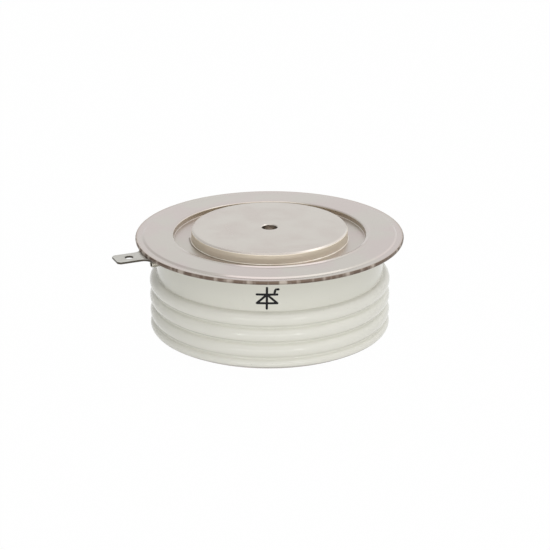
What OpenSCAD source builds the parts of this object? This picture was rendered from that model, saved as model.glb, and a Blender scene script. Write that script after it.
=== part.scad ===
// Disc thyristor, a press-pack power semiconductor cell.
// A silicon wafer lies between two copper pole pieces inside a ribbed ceramic ring.
// The upper contact face is the cathode, the lower one the anode. The gate comes out at the side.
// Origin: centre of the anode contact face. +Z points to the cathode. Millimetres.

/* [Cell] */
// Height from contact face to contact face
cell_height = 26; // [23:0.5:34]
// Height of the cathode contact face above the flange
pole_rise = 1.2; // [0.6:0.1:2]
// Height of the ceramic's foot above the anode contact face
anode_rise = 3.1; // [2:0.1:4.5]

/* [Pole pieces] */
// Diameter of both contact faces
pole_d = 35; // [28:0.5:45]
// Rounding of the edges of the contact faces
pole_edge_r = 0.5; // [0.2:0.1:0.9]
// Width of the shoulder that each flange sheet is brazed to
shoulder_w = 0.8; // [0.5:0.1:1.4]
// Height of the cathode pole piece
cathode_pole_h = 12.8; // [11.5:0.1:15]
// Diameter of the centring holes in the contact faces
centring_hole_d = 3.5; // [2:0.1:5]
// Depth of the straight wall of the centring holes
centring_hole_depth = 2.4; // [1.5:0.1:3]
// Height of the drill point at the end of the centring holes
drill_point_h = 1.05; // [0.6:0.05:1.5]

/* [Cathode flange] */
// Thickness of both flange sheets
sheet_t = 0.4; // [0.2:0.05:0.6]
// Width of the recess around the cathode pole piece
recess_w = 4.4; // [3.5:0.1:7]
// Depth of the recess below the flange
recess_depth = 1.3; // [1:0.05:2]
// Inside radius of the bend at the floor of the recess
floor_bend_r = 0.2; // [0.1:0.05:0.5]
// Inside radius of the bend at the edge of the recess
edge_bend_r = 0.1; // [0.05:0.05:0.4]
// Flange overhang beyond the ceramic neck
flange_overhang = 4.55; // [3.5:0.05:7]
// Width of the welded band along the rim
weld_band_w = 1.5; // [0.8:0.1:2]
// Depth that the welded band is pressed below the flange
weld_drop = 0.33; // [0.15:0.01:0.6]
// Width of the slope from the flange down to the welded band
weld_slope_w = 0.45; // [0.2:0.05:0.8]

/* [Ceramic] */
// Clearance between the recess wall and the ceramic bore
recess_gap = 0.4; // [0.3:0.05:1.5]
// Wall thickness of the plain neck
neck_wall = 3.25; // [2.4:0.05:5]
// Height of the rib crests above the neck
rib_step = 1.6; // [1.2:0.05:1.75]
// Number of full ribs above the foot rib
rib_count = 3; // [1:1:4]
// Distance between full ribs
rib_pitch = 3.6; // [3.2:0.1:4.4]
// Depth of the grooves between full ribs
rib_depth = 1.05; // [1:0.05:1.5]
// Radius of the hollows between ribs
groove_r = 0.35; // [0.2:0.05:0.5]
// Radius of the hollow between the neck and the top rib
neck_groove_r = 0.15; // [0.1:0.05:0.5]
// Radius of the narrower rib at the foot
foot_rib_r = 1; // [0.8:0.05:1.2]
// Distance from the foot rib to the lowest full rib
foot_rib_pitch = 2.9; // [2.6:0.05:3.2]

/* [Anode flange] */
// Thickness of the anode flange sheet
anode_sheet_t = 0.5; // [0.3:0.05:0.7]
// Inside radius of the pressed bead that lets the sheet flex
bead_r = 0.6; // [0.4:0.05:0.7]
// Height of the pole piece's waist above the pressed bead
bead_clearance = 0.6; // [0.3:0.05:1]
// Margin between the rim of the anode flange and the neck radius
anode_rim_margin = 0; // [0:0.05:1]

/* [Wafer pack] */
// Gap between the wafer pack and the ceramic bore
pack_gap = 2.5; // [1.8:0.1:3]
// Thickness of the anode molybdenum disc
anode_disc_t = 2; // [1:0.1:3]
// Thickness of the silicon wafer
wafer_t = 0.5; // [0.3:0.05:0.8]
// Width of the bare molybdenum rim beyond the wafer
wafer_margin = 0.5; // [0.2:0.05:1]
// Slope width of the bevelled wafer edge
wafer_bevel = 0.6; // [0.3:0.05:1]
// Width of the wafer's upper face that the edge rubber covers
rubber_cover = 1.1; // [0.8:0.05:1.5]
// Height of the edge rubber above the wafer
rubber_rise = 0.7; // [0.4:0.05:0.9]
// Thickness of the cathode molybdenum disc
cathode_disc_t = 1.2; // [1:0.1:2]
// Gap between the cathode molybdenum disc and the edge rubber
disc_gap = 0.8; // [0.3:0.05:1.5]
// Height of the centring ring above the wafer
ring_rise = 2.4; // [1.8:0.05:2.6]
// Depth of the centring ring below the wafer
ring_depth = 3; // [2.6:0.05:4]
// Clearance of the centring ring to what it lines up
ring_clearance = 0.15; // [0.05:0.05:0.3]

/* [Gate] */
// Diameter of the gate cavity in the cathode pole piece
gate_cavity_d = 8; // [7.6:0.1:10]
// Copper left between the gate cavity and the centring hole
cavity_web = 1.05; // [0.8:0.05:1.5]
// Clearance of the insulating cup in its cavity
cup_clearance = 0.1; // [0.05:0.05:0.3]
// Wall and roof thickness of the insulating cup
cup_wall = 1; // [0.6:0.05:1.1]
// Gap between the insulating cup and the wafer
cup_gap = 0.3; // [0.2:0.05:0.6]
// Diameter of the gate pin's head
pin_head_d = 4.4; // [4:0.1:4.6]
// Height of the gate pin's head
pin_head_h = 1.5; // [1.2:0.05:1.8]
// Diameter of the gate pin's shaft
pin_shaft_d = 2; // [1.4:0.1:3]
// Diameter of the gate pin's foot on the silicon
pin_foot_d = 3; // [2.2:0.1:4]
// Height of the gate pin's foot
pin_foot_h = 0.6; // [0.3:0.05:1]
// Wire diameter of the gate spring
spring_wire_d = 0.45; // [0.3:0.05:0.5]
// Mean diameter of the gate spring
spring_d = 3.5; // [3.3:0.05:3.7]
// Distance between the open turns of the gate spring
spring_pitch = 0.95; // [0.8:0.05:1.3]
// Gap between the closed end turns of the gate spring
spring_end_gap = 0.05; // [0.03:0.01:0.1]
// Radial clearance between the gate spring and the pin's spigot
spigot_clearance = 0.3; // [0.1:0.05:0.4]
// Thickness of the thrust washer above the spring
washer_t = 0.5; // [0.3:0.05:0.8]
// Radial clearance between the thrust washer and the cup
washer_clearance = 0.2; // [0.1:0.05:0.4]

/* [Gate lead] */
// Diameter of the gate lead's wire
lead_d = 0.6; // [0.5:0.05:0.6]
// Wall thickness of the insulating sleeve on the lead
sleeve_t = 0.33; // [0.2:0.01:0.4]
// Clearance between the wire and what is slipped over it
lead_clearance = 0.02; // [0.01:0.01:0.05]
// Bend radius of the lead's centre line
lead_bend_r = 1; // [0.9:0.05:1.3]
// Height of the lead above the lower end of the cathode pole piece
lead_rise = 2.4; // [2.2:0.05:2.7]
// Distance from the sleeve's inner end to the inside of the cup
sleeve_inset = 0.2; // [0.1:0.05:0.5]
// Clearance of the lead's slot on each side of the sleeve
slot_clearance = 0.25; // [0.1:0.05:0.5]
// Depth that the bare wire sits in the gate pin's head
lead_seat = 1; // [0.6:0.05:1.2]

/* [Gate tube] */
// Direction of the gate tube, turned from +X
tube_angle = 207.5; // [205:0.5:215]
// Outside diameter of the gate tube
tube_d = 1.4; // [1.2:0.05:1.6]
// Diameter of the socket in the tube's open end
socket_d = 1; // [0.96:0.02:1.1]
// Depth of the socket
socket_depth = 3.5; // [2:0.1:3.8]
// Depth of the tube's axis below the top of the ceramic
tube_drop = 1.47; // [1.4:0.01:2.2]
// Inset of the tube's end from the rim of the flange
tube_inset = 0.9; // [0.3:0.05:1.2]
// Length of the tube's inner end inside the ceramic bore
tube_inside = 0.6; // [0.2:0.05:0.8]
// Diameter of the brazing collar against the ceramic
collar_d = 2.1; // [1.8:0.05:2.4]
// Thickness of the brazing collar
collar_t = 0.35; // [0.2:0.05:0.6]

/* [Auxiliary cathode tab] */
// Direction of the tab, turned from +X
tab_angle = 202.8; // [195:0.1:203]
// Width of the tab
tab_w = 4.8; // [2.8:0.1:6.3]
// Thickness of the tab
tab_t = 0.5; // [0.3:0.05:0.6]
// Reach of the tab beyond the rim of the flange
tab_reach = 6.5; // [5:0.1:12]
// Chamfer at the corners of the tab's tip
tab_chamfer = 0.6; // [0.2:0.05:1.2]
// Diameter of the hole in the tab
tab_hole_d = 1.9; // [1.2:0.05:2.2]
// Distance from the hole's centre to the tab's tip
tab_hole_inset = 3.3; // [2.5:0.1:4]
// Fillet radius where the tab widens to its foot
tab_fillet_r = 1.7; // [1:0.1:2.5]
// Inset of the foot's outer edge from the rim
tab_foot_inset = 0.5; // [0.3:0.05:1]
// Clearance between the foot and the ceramic neck
tab_foot_gap = 0.75; // [0.4:0.05:1.2]

/* [Hidden] */

// Steps of a full turn: large rounds, small rounds and wire; steps of a bend in the flange sheet
$fn = 128;
small_fn = 64;
wire_fn = 32;
bend_steps = 10;

// Colours
nickel = [0.80, 0.76, 0.73];
glaze = [0.86, 0.87, 0.83];
molybdenum = [0.55, 0.56, 0.58];
silicon = [0.30, 0.31, 0.35];
rubber = [0.62, 0.20, 0.14];
plastic = [0.93, 0.92, 0.88];
steel = [0.70, 0.70, 0.70];
silver = [0.83, 0.82, 0.80];

// Overlap of a cutting shape past the face that it opens
past = 1;

// Gap of a brazed seam
braze_gap = 0.02;

// Radii, from the contact faces outwards
pole_r = pole_d / 2;
body_r = pole_r + shoulder_w;
recess_edge_r = edge_bend_r + sheet_t;
recess_wall_r = pole_r + recess_w - recess_edge_r;
bore_r = recess_wall_r + sheet_t + recess_gap;
neck_r = bore_r + neck_wall;
crest_r = neck_r + rib_step;
flange_r = neck_r + flange_overhang;
pack_r = bore_r - pack_gap;
wafer_r = pack_r - wafer_margin;
wafer_face_r = wafer_r - wafer_bevel;
rubber_r = wafer_face_r - rubber_cover;
cathode_disc_r = rubber_r - disc_gap;

// Heights of the flange, from the cathode contact face down
z_flange = cell_height - pole_rise;
z_recess = z_flange - recess_depth;
z_band = z_flange - weld_drop;
z_seam = z_band - sheet_t;
z_ceramic = z_seam - sheet_t;

// Heights of the wafer pack, from the cathode pole piece down
z_cathode_pole = cell_height - cathode_pole_h;
z_wafer = z_cathode_pole - cathode_disc_t;
z_anode_disc = z_wafer - wafer_t;
z_anode_pole = z_anode_disc - anode_disc_t;

// Rib profile: every hollow touches the two ribs beside it without a corner
rib_r = (rib_depth * rib_depth + rib_pitch * rib_pitch / 4) / (2 * rib_depth) - groove_r;
rib_centre_r = crest_r - rib_r;
foot_rib = [crest_r - foot_rib_r, anode_rise + foot_rib_r];
z_low_rib = foot_rib[1] + foot_rib_pitch;
ribs = [for (i = [rib_count - 1 : -1 : 0]) [rib_centre_r, z_low_rib + i * rib_pitch]];
top_rib = ribs[0];
neck_hollow_r = neck_r + neck_groove_r;
neck_hollow_rise = sqrt(pow(rib_r + neck_groove_r, 2) - pow(neck_hollow_r - rib_centre_r, 2));
neck_hollow = [neck_hollow_r, top_rib[1] + neck_hollow_rise];

// Gate stack, from the wafer up
cavity_r = gate_cavity_d / 2;
z_cavity = cell_height - centring_hole_depth - drill_point_h - cavity_web;
cup_r = cavity_r - cup_clearance;
cup_inner_r = cup_r - cup_wall;
z_cup = z_wafer + cup_gap;
z_lead = z_cathode_pole + lead_rise;
z_pin_head = z_lead - pin_head_h / 2;
z_spring = z_lead + pin_head_h / 2;
z_washer = z_cavity - cup_wall - washer_t;
spring_h = z_washer - z_spring;
spring_travel = spring_h - spring_wire_d;
spring_end_rise = spring_wire_d + spring_end_gap;
spring_turns = 2 + (spring_travel - 2 * spring_end_rise) / spring_pitch;
spigot_d = spring_d - spring_wire_d - 2 * spigot_clearance;
spigot_h = spring_h / 2;

// Gate lead and tube
z_tube = z_ceramic - tube_drop;
tube_end_r = flange_r - tube_inset;
tube_start_r = bore_r - tube_inside;
socket_floor_r = tube_end_r - socket_depth;
lead_r = (body_r + bore_r) / 2;
lead_end_r = pin_head_d / 2 - lead_seat;
sleeve_r = lead_d / 2 + lead_clearance + sleeve_t;
sleeve_end_r = cup_inner_r + sleeve_inset;
slot_w = 2 * (sleeve_r + slot_clearance);
z_slot = z_lead + slot_w / 2;

// Auxiliary cathode tab
tab_tip = flange_r + tab_reach;
tab_foot_start = neck_r + tab_foot_gap;
tab_foot_end = flange_r - tab_foot_inset;
tab_foot_w = tab_w + 2 * tab_fillet_r;

// Centre of a circle that touches two circles, given the distances to their centres a and b
function beside(a, b, to_a, to_b) =
    let (
        gap = norm(b - a),
        along = (b - a) / gap,
        reach = (gap * gap + to_a * to_a - to_b * to_b) / (2 * gap),
        out = sqrt(to_a * to_a - reach * reach)
    )
    a + reach * along + out * [-along[1], along[0]];

// Points along an arc between two angles
function arc(centre, r, from, to) =
    [for (i = [0 : bend_steps])
        let (a = from + (to - from) * i / bend_steps)
        centre + r * [cos(a), sin(a)]
    ];

// A list from its end to its start
function reversed(list) = [for (i = [len(list) - 1 : -1 : 0]) list[i]];

// Rectangle between two corners
module span(low, high) {
    translate(low) square(high - low);
}

// Section of a round bar from z = 0 up, with a rounded upper outer edge
module rounded_bar(r, h, edge_r) {
    span([0, 0], [r, h - edge_r]);
    span([0, 0], [r - edge_r, h]);
    translate([r - edge_r, h - edge_r]) circle(edge_r, $fn = small_fn);
}

// Blind centring hole with a drill point, opening upwards at z = 0
module centring_hole() {
    hole_r = centring_hole_d / 2;
    rotate_extrude()
    polygon([
        [0, -centring_hole_depth - drill_point_h],
        [hole_r, -centring_hole_depth],
        [hole_r, past],
        [0, past]
    ]);
}

// Round bar along X from x0 to x1
module bar_x(x0, x1, d) {
    translate([x0, 0, 0]) rotate([0, 90, 0]) cylinder(d = d, h = x1 - x0);
}

// Quarter turn of a round bar in the XZ plane, starting at the given angle from +X towards +Z
module quarter_turn(start, d) {
    rotate([90, 0, 0])
    rotate(start)
    rotate_extrude(angle = 90)
    translate([lead_bend_r, 0])
    circle(d = d, $fn = wire_fn);
}

// The lead's route in its own radial plane: in from the gate tube, down beside the pole, in to the pin
module lead_route(d, from_r, to_r) {
    rotate(tube_angle) {
        translate([0, 0, z_tube]) bar_x(lead_r + lead_bend_r, from_r, d);
        translate([lead_r + lead_bend_r, 0, z_tube - lead_bend_r]) quarter_turn(90, d);
        translate([lead_r, 0, z_lead + lead_bend_r])
            cylinder(d = d, h = z_tube - z_lead - 2 * lead_bend_r);
        translate([lead_r - lead_bend_r, 0, z_lead + lead_bend_r]) quarter_turn(270, d);
        translate([0, 0, z_lead]) bar_x(to_r, lead_r - lead_bend_r, d);
    }
}

// Slot for the lead, open downwards
module lead_slot(from_r, to_r, z_low) {
    rotate(tube_angle)
    translate([from_r, -slot_w / 2, z_low])
        cube([to_r - from_r, slot_w, z_slot - z_low]);
}

// Copper block with the lower contact face, turned from bar and nickel-plated
module anode_pole_piece() {
    z_waist = anode_rise + bead_r + bead_clearance;
    color(nickel)
    difference() {
        rotate_extrude() {
            translate([0, z_anode_pole])
            mirror([0, 1])
            rounded_bar(pole_r, z_anode_pole, pole_edge_r);
            span([0, anode_rise], [body_r, z_anode_pole]);
            span([0, z_waist], [pack_r, z_anode_pole]);
        }
        mirror([0, 0, 1]) centring_hole();
    }
}

// Sheet ring with a pressed bead, brazed under the ceramic and around the anode pole piece
module anode_flange() {
    z_low = anode_rise - anode_sheet_t;
    bead = [(body_r + bore_r) / 2, z_low];
    color(nickel)
    rotate_extrude()
    difference() {
        union() {
            span([pole_r + braze_gap, z_low], [neck_r - anode_rim_margin, anode_rise]);
            intersection() {
                translate(bead) circle(bead_r + anode_sheet_t, $fn = small_fn);
                span(bead - [2 * bore_r, 0], bead + [2 * bore_r, 2 * bore_r]);
            }
        }
        translate(bead) circle(bead_r, $fn = small_fn);
    }
}

// Section of the ceramic ring: plain neck, full ribs and foot rib with rounded hollows between them
module ceramic_section() {
    reach = rib_r + groove_r;
    hollows = [for (i = [0 : 1 : rib_count - 2]) beside(ribs[i], ribs[i + 1], reach, reach)];
    low_rib = ribs[rib_count - 1];
    foot_hollow = beside(low_rib, foot_rib, reach, foot_rib_r + groove_r);
    difference() {
        union() {
            span([bore_r, top_rib[1]], [neck_r, z_ceramic]);
            span([bore_r, foot_rib[1]], [rib_centre_r, top_rib[1]]);
            span([bore_r, anode_rise], foot_rib);
            for (rib = ribs) translate(rib) circle(rib_r);
            translate(foot_rib) circle(foot_rib_r);
            polygon([top_rib, neck_hollow, [neck_r, neck_hollow[1]], [neck_r - neck_groove_r, top_rib[1]]]);
            for (i = [0 : 1 : rib_count - 2]) polygon([ribs[i], ribs[i + 1], hollows[i]]);
            polygon([low_rib, [rib_centre_r, foot_rib[1]], foot_rib, foot_hollow]);
        }
        translate(neck_hollow) circle(neck_groove_r, $fn = small_fn);
        for (hollow = concat(hollows, [foot_hollow])) translate(hollow) circle(groove_r, $fn = small_fn);
    }
}

// Glazed alumina ring with a hole for the gate tube
module ceramic_housing() {
    color(glaze)
    difference() {
        rotate_extrude() ceramic_section();
        rotate(tube_angle)
        translate([0, 0, z_tube])
            bar_x(bore_r - past, neck_r + past, tube_d + 2 * braze_gap);
    }
}

// Carrier disc that the silicon is alloyed to
module anode_molybdenum_disc() {
    color(molybdenum)
    translate([0, 0, z_anode_pole]) cylinder(r = pack_r, h = anode_disc_t);
}

// Silicon element with a bevelled edge
module silicon_wafer() {
    color(silicon)
    translate([0, 0, z_anode_disc]) cylinder(r1 = wafer_r, r2 = wafer_face_r, h = wafer_t);
}

// Ring of rubber cast over the bevelled edge of the wafer
module wafer_edge_rubber() {
    z_top = z_wafer + rubber_rise;
    color(rubber)
    rotate_extrude()
    polygon([
        [wafer_r, z_anode_disc],
        [pack_r, z_anode_disc],
        [pack_r, z_wafer],
        [wafer_r, z_top],
        [rubber_r + rubber_rise / 2, z_top],
        [rubber_r, z_wafer],
        [wafer_face_r, z_wafer]
    ]);
}

// Loose pressure disc with a centre hole for the gate
module cathode_molybdenum_disc() {
    color(molybdenum)
    translate([0, 0, z_wafer])
    difference() {
        cylinder(r = cathode_disc_r, h = cathode_disc_t);
        translate([0, 0, -past]) cylinder(r = cavity_r, h = cathode_disc_t + 2 * past);
    }
}

// Plastic ring that rests on the edge rubber and lines the wafer pack up with the cathode pole piece
module centring_ring() {
    wall_r = pack_r + ring_clearance;
    lip_r = body_r + ring_clearance;
    color(plastic)
    rotate_extrude() {
        span([wall_r, z_wafer - ring_depth], [bore_r - ring_clearance, z_wafer + ring_rise]);
        span([lip_r, z_wafer + rubber_rise], [wall_r, z_wafer + ring_rise]);
    }
}

// Insulating cup around the gate pin and its spring, with a slot for the lead
module gate_insulating_cup() {
    color(plastic)
    difference() {
        translate([0, 0, z_cup]) cylinder(r = cup_r, h = z_cavity - z_cup);
        translate([0, 0, z_cup - past])
            cylinder(r = cup_inner_r, h = z_cavity - cup_wall - z_cup + past);
        lead_slot(cup_inner_r - past, cup_r + past, z_cup - past);
    }
}

// Steel washer between the cup's roof and the spring
module gate_thrust_washer() {
    color(steel)
    translate([0, 0, z_washer])
    difference() {
        cylinder(r = cup_inner_r - washer_clearance, h = washer_t);
        translate([0, 0, -past]) cylinder(d = spigot_d, h = washer_t + 2 * past);
    }
}

// Coil spring with closed end turns, swept along its wire
module gate_spring() {
    steps = 20;
    sides = 8;
    rings = ceil(spring_turns * steps);
    end_share = 1 / spring_turns;
    // Rise of the wire at a share of its length: one closed turn at each end
    function coil_z(share) =
        lookup(share, [
            [0, 0],
            [end_share, spring_end_rise],
            [1 - end_share, spring_travel - spring_end_rise],
            [1, spring_travel]
        ]);
    function section(share) =
        let (turn = 360 * spring_turns * share)
        [for (k = [0 : sides - 1])
            let (
                a = 360 * k / sides,
                r = spring_d / 2 + spring_wire_d / 2 * cos(a)
            )
            [r * cos(turn), r * sin(turn), coil_z(share) + spring_wire_d / 2 * (1 + sin(a))]
        ];
    points = [for (i = [0 : rings]) each section(i / rings)];
    walls = [for (i = [0 : rings - 1], k = [0 : sides - 1])
        let (n = (k + 1) % sides)
        [i * sides + k, (i + 1) * sides + k, (i + 1) * sides + n, i * sides + n]
    ];
    ends = [[for (k = [0 : sides - 1]) k], [for (k = [sides - 1 : -1 : 0]) rings * sides + k]];
    color(steel)
    translate([0, 0, z_spring]) polyhedron(points, concat(walls, ends));
}

// Headed pin that touches the gate area of the silicon
module gate_contact_pin() {
    color(silver)
    difference() {
        union() {
            translate([0, 0, z_wafer]) cylinder(d = pin_foot_d, h = pin_foot_h);
            translate([0, 0, z_wafer]) cylinder(d = pin_shaft_d, h = z_pin_head - z_wafer);
            translate([0, 0, z_pin_head]) cylinder(d = pin_head_d, h = pin_head_h);
            translate([0, 0, z_spring]) cylinder(d = spigot_d, h = spigot_h);
        }
        rotate(tube_angle)
        translate([0, 0, z_lead])
            bar_x(lead_end_r, pin_head_d / 2 + past, lead_d + 2 * lead_clearance);
    }
}

// Silvered wire from the gate pin to the gate tube
module gate_lead() {
    color(silver) lead_route(lead_d, socket_floor_r, lead_end_r);
}

// Insulating sleeve over the lead between the tube and the cup
module gate_lead_sleeve() {
    color(plastic)
    difference() {
        lead_route(2 * sleeve_r, tube_start_r - lead_clearance, sleeve_end_r);
        lead_route(lead_d + 2 * lead_clearance, tube_start_r + past, sleeve_end_r - past);
    }
}

// Metal tube brazed through the ceramic's neck; its open end takes the gate plug
module gate_tube() {
    color(nickel)
    rotate(tube_angle)
    translate([0, 0, z_tube])
    difference() {
        union() {
            bar_x(tube_start_r, tube_end_r, tube_d);
            bar_x(neck_r, neck_r + collar_t, collar_d);
        }
        bar_x(socket_floor_r, tube_end_r + past, socket_d);
        bar_x(tube_start_r - past, socket_floor_r + past, lead_d + 2 * lead_clearance);
    }
}

// Copper block with the upper contact face; its lower end holds the gate cavity and the lead's slot
module cathode_pole_piece() {
    z_shoulder = z_recess - sheet_t;
    color(nickel)
    difference() {
        rotate_extrude() {
            translate([0, z_cathode_pole]) rounded_bar(pole_r, cathode_pole_h, pole_edge_r);
            span([0, z_cathode_pole], [body_r, z_shoulder]);
        }
        translate([0, 0, cell_height]) centring_hole();
        translate([0, 0, z_cathode_pole - past])
            cylinder(r = cavity_r, h = z_cavity - z_cathode_pole + past);
        lead_slot(0, body_r + past, z_cathode_pole - past);
    }
}

// One side of the stamped flange sheet, at a depth below its upper side: recess, flange and weld slope
function sheet_side(depth) =
    let (
        floor_r = floor_bend_r + depth,
        edge_r = recess_edge_r - depth,
        wall_r = recess_wall_r + depth,
        slope_end = flange_r - weld_band_w
    )
    concat(
        [[pole_r + braze_gap, z_recess - depth]],
        arc([wall_r - floor_r, z_recess + floor_bend_r], floor_r, -90, 0),
        arc([wall_r + edge_r, z_flange - recess_edge_r], edge_r, 180, 90),
        [[slope_end - weld_slope_w, z_flange - depth], [slope_end, z_band - depth]]
    );

// Stamped upper flange sheet: recess floor, recess wall, flange and pressed weld band
module cathode_diaphragm() {
    rim_r = sheet_t / 2;
    color(nickel)
    rotate_extrude()
    polygon(concat(
        sheet_side(0),
        arc([flange_r - rim_r, z_band - rim_r], rim_r, 90, 0),
        [[flange_r, z_seam]],
        reversed(sheet_side(sheet_t))
    ));
}

// Lower flange sheet, brazed on the ceramic and welded to the upper sheet along the rim
module ceramic_weld_flange() {
    rim_r = sheet_t / 2;
    inner_r = bore_r + rim_r;
    color(nickel)
    rotate_extrude() {
        span([inner_r, z_ceramic], [flange_r - rim_r, z_seam]);
        span([inner_r, z_ceramic + rim_r], [flange_r, z_seam]);
        translate([flange_r - rim_r, z_ceramic + rim_r]) circle(rim_r, $fn = small_fn);
    }
}

// Flat plug-in tab, its widened foot welded under the rim of the flange
module auxiliary_cathode_tab() {
    half_w = tab_w / 2;
    color(nickel)
    rotate(tab_angle)
    translate([0, 0, z_ceramic - tab_t])
    linear_extrude(tab_t)
    difference() {
        union() {
            span([tab_foot_start, -tab_foot_w / 2], [tab_foot_end + tab_fillet_r, tab_foot_w / 2]);
            polygon([
                [tab_foot_end, -half_w],
                [tab_tip - tab_chamfer, -half_w],
                [tab_tip, tab_chamfer - half_w],
                [tab_tip, half_w - tab_chamfer],
                [tab_tip - tab_chamfer, half_w],
                [tab_foot_end, half_w]
            ]);
        }
        for (side = [-1, 1])
            translate([tab_foot_end + tab_fillet_r, side * tab_foot_w / 2])
                circle(tab_fillet_r, $fn = small_fn);
        translate([tab_tip - tab_hole_inset, 0]) circle(d = tab_hole_d);
    }
}

anode_pole_piece();
anode_flange();
ceramic_housing();
anode_molybdenum_disc();
silicon_wafer();
wafer_edge_rubber();
cathode_molybdenum_disc();
centring_ring();
gate_insulating_cup();
gate_thrust_washer();
gate_spring();
gate_contact_pin();
gate_lead();
gate_lead_sleeve();
gate_tube();
cathode_pole_piece();
cathode_diaphragm();
ceramic_weld_flange();
auxiliary_cathode_tab();
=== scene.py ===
import math
import bmesh
import bpy
from mathutils import Matrix, Vector


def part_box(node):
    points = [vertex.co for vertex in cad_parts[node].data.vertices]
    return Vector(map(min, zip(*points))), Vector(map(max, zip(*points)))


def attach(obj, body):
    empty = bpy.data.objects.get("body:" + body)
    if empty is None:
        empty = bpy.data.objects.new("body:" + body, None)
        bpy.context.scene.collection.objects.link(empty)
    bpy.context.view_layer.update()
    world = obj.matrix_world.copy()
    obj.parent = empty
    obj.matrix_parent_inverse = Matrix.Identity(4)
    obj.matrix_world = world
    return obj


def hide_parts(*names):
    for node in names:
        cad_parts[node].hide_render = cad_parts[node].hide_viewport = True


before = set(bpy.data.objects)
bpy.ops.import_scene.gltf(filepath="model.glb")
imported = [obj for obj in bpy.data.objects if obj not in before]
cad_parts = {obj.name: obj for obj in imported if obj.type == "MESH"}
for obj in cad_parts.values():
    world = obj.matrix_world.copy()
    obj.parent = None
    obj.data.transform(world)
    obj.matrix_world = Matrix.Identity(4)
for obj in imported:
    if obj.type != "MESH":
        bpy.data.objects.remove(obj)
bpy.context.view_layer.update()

# Anode pole piece: a copper block turned from bar and nickel-plated all over. Its lower face is the
# anode contact, and the blind hole in it takes the heat sink's centring pin. A wider body above the
# shoulder carries the wafer pack. It is brazed to the anode flange.

MM = 0.001
ON_AXIS = 1e-6
TURN_STEPS = 256
BEND_STEPS = 8
EDGE_STEPS = 6
CRISP_ANGLE = math.radians(40)


def node_box(node):
    """Lowest and highest corner of a CAD node, in millimetres."""
    low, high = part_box(node)
    return low / MM, high / MM


def arc(centre, start, end, steps=BEND_STEPS):
    """Points of a round stretch from start to end, the short way about its centre."""
    first = math.atan2(start[1] - centre[1], start[0] - centre[0])
    last = math.atan2(end[1] - centre[1], end[0] - centre[0])
    turn = (last - first + math.pi) % (2 * math.pi) - math.pi
    radius = math.dist(start, centre)
    angles = [first + turn * i / steps for i in range(steps + 1)]
    return [(centre[0] + radius * math.cos(a), centre[1] + radius * math.sin(a)) for a in angles]


def eased(*corners):
    """An outline whose corners (r, z, radius) are rounded, while corners (r, z) stay sharp."""
    outline = []
    for i, corner in enumerate(corners):
        here = Vector(corner[:2])
        if len(corner) == 2:
            outline.append(tuple(here))
            continue
        back = (Vector(corners[i - 1][:2]) - here).normalized()
        on = (Vector(corners[(i + 1) % len(corners)][:2]) - here).normalized()
        half = back.angle(on) / 2
        reach = corner[2] / math.tan(half)
        centre = here + (back + on).normalized() * corner[2] / math.sin(half)
        outline += arc(centre, here + back * reach, here + on * reach, EDGE_STEPS)
    return outline


def turned(outline, closed=True, steps=TURN_STEPS, sway=None):
    """A round body: an outline of (r, z) turned about Z. An open outline starts and ends on the axis.
    sway(r, z, angle) may give each point a slightly different (r, z)."""
    body = bmesh.new()
    loops = []
    for r, z in outline:
        loop = []
        for k in range(1 if r < ON_AXIS else steps):
            angle = 2 * math.pi * k / steps
            loop_r, loop_z = sway(r, z, angle) if sway else (r, z)
            spot = Vector((loop_r * math.cos(angle), loop_r * math.sin(angle), loop_z))
            loop.append(body.verts.new(spot * MM))
        loops.append(loop)
    for a, b in zip(loops, loops[1:] + loops[:1] if closed else loops[1:]):
        for k in range(steps):
            n = k + 1
            quad = [a[k % len(a)], a[n % len(a)], b[n % len(b)], b[k % len(b)]]
            body.faces.new(dict.fromkeys(quad))
    return body


def fitted(name, body, material, replaces=()):
    """A body as a piece of the cell: smooth faces with crisp edges, in the place of CAD nodes."""
    bmesh.ops.recalc_face_normals(body, faces=body.faces)
    mesh = bpy.data.meshes.new(name)
    body.to_mesh(mesh)
    body.free()
    mesh.shade_smooth()
    mesh.set_sharp_from_angle(angle=CRISP_ANGLE)
    mesh.materials.append(material)
    piece = bpy.data.objects.new(name, mesh)
    bpy.context.scene.collection.objects.link(piece)
    normals = piece.modifiers.new("flats stay flat", "WEIGHTED_NORMAL")
    normals.keep_sharp = True
    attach(piece, "root")
    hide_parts(*replaces)


class Wire:
    """A socket among a material's nodes. Operators add Math nodes, and add() makes any other node."""

    def __init__(self, tree, socket=None):
        self.tree = tree
        self.socket = socket

    def add(self, kind, settings=(), inputs=(), output=0):
        node = self.tree.nodes.new(kind)
        for key, value in dict(settings).items():
            setattr(node, key, value)
        for key, value in dict(inputs).items():
            if isinstance(value, Wire):
                self.tree.links.new(value.socket, node.inputs[key])
            else:
                node.inputs[key].default_value = value
        return Wire(self.tree, node.outputs[output])

    def math(self, operation, a, b=0.0):
        return self.add("ShaderNodeMath", {"operation": operation}, {0: a, 1: b})

    def __add__(self, other):
        return self.math("ADD", self, other)

    def __sub__(self, other):
        return self.math("SUBTRACT", self, other)

    def __rsub__(self, other):
        return self.math("SUBTRACT", other, self)

    def __mul__(self, other):
        return self.math("MULTIPLY", self, other)

    __radd__ = __add__
    __rmul__ = __mul__


def surface(name, constants, varying):
    """A material with one Principled shader. varying(wire) gives what changes over the surface."""
    material = bpy.data.materials.new(name)
    material.use_nodes = True
    tree = material.node_tree
    shader = tree.nodes["Principled BSDF"]
    for key, value in constants.items():
        shader.inputs[key].default_value = value
    for key, wire in varying(Wire(tree)).items():
        tree.links.new(wire.socket, shader.inputs[key])
    return material


def place(wire):
    """Where a surface point is, in millimetres."""
    spot = wire.add("ShaderNodeTexCoord", output="Object")
    return wire.add("ShaderNodeVectorMath", {"operation": "SCALE"}, {0: spot, "Scale": 1 / MM})


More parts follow.
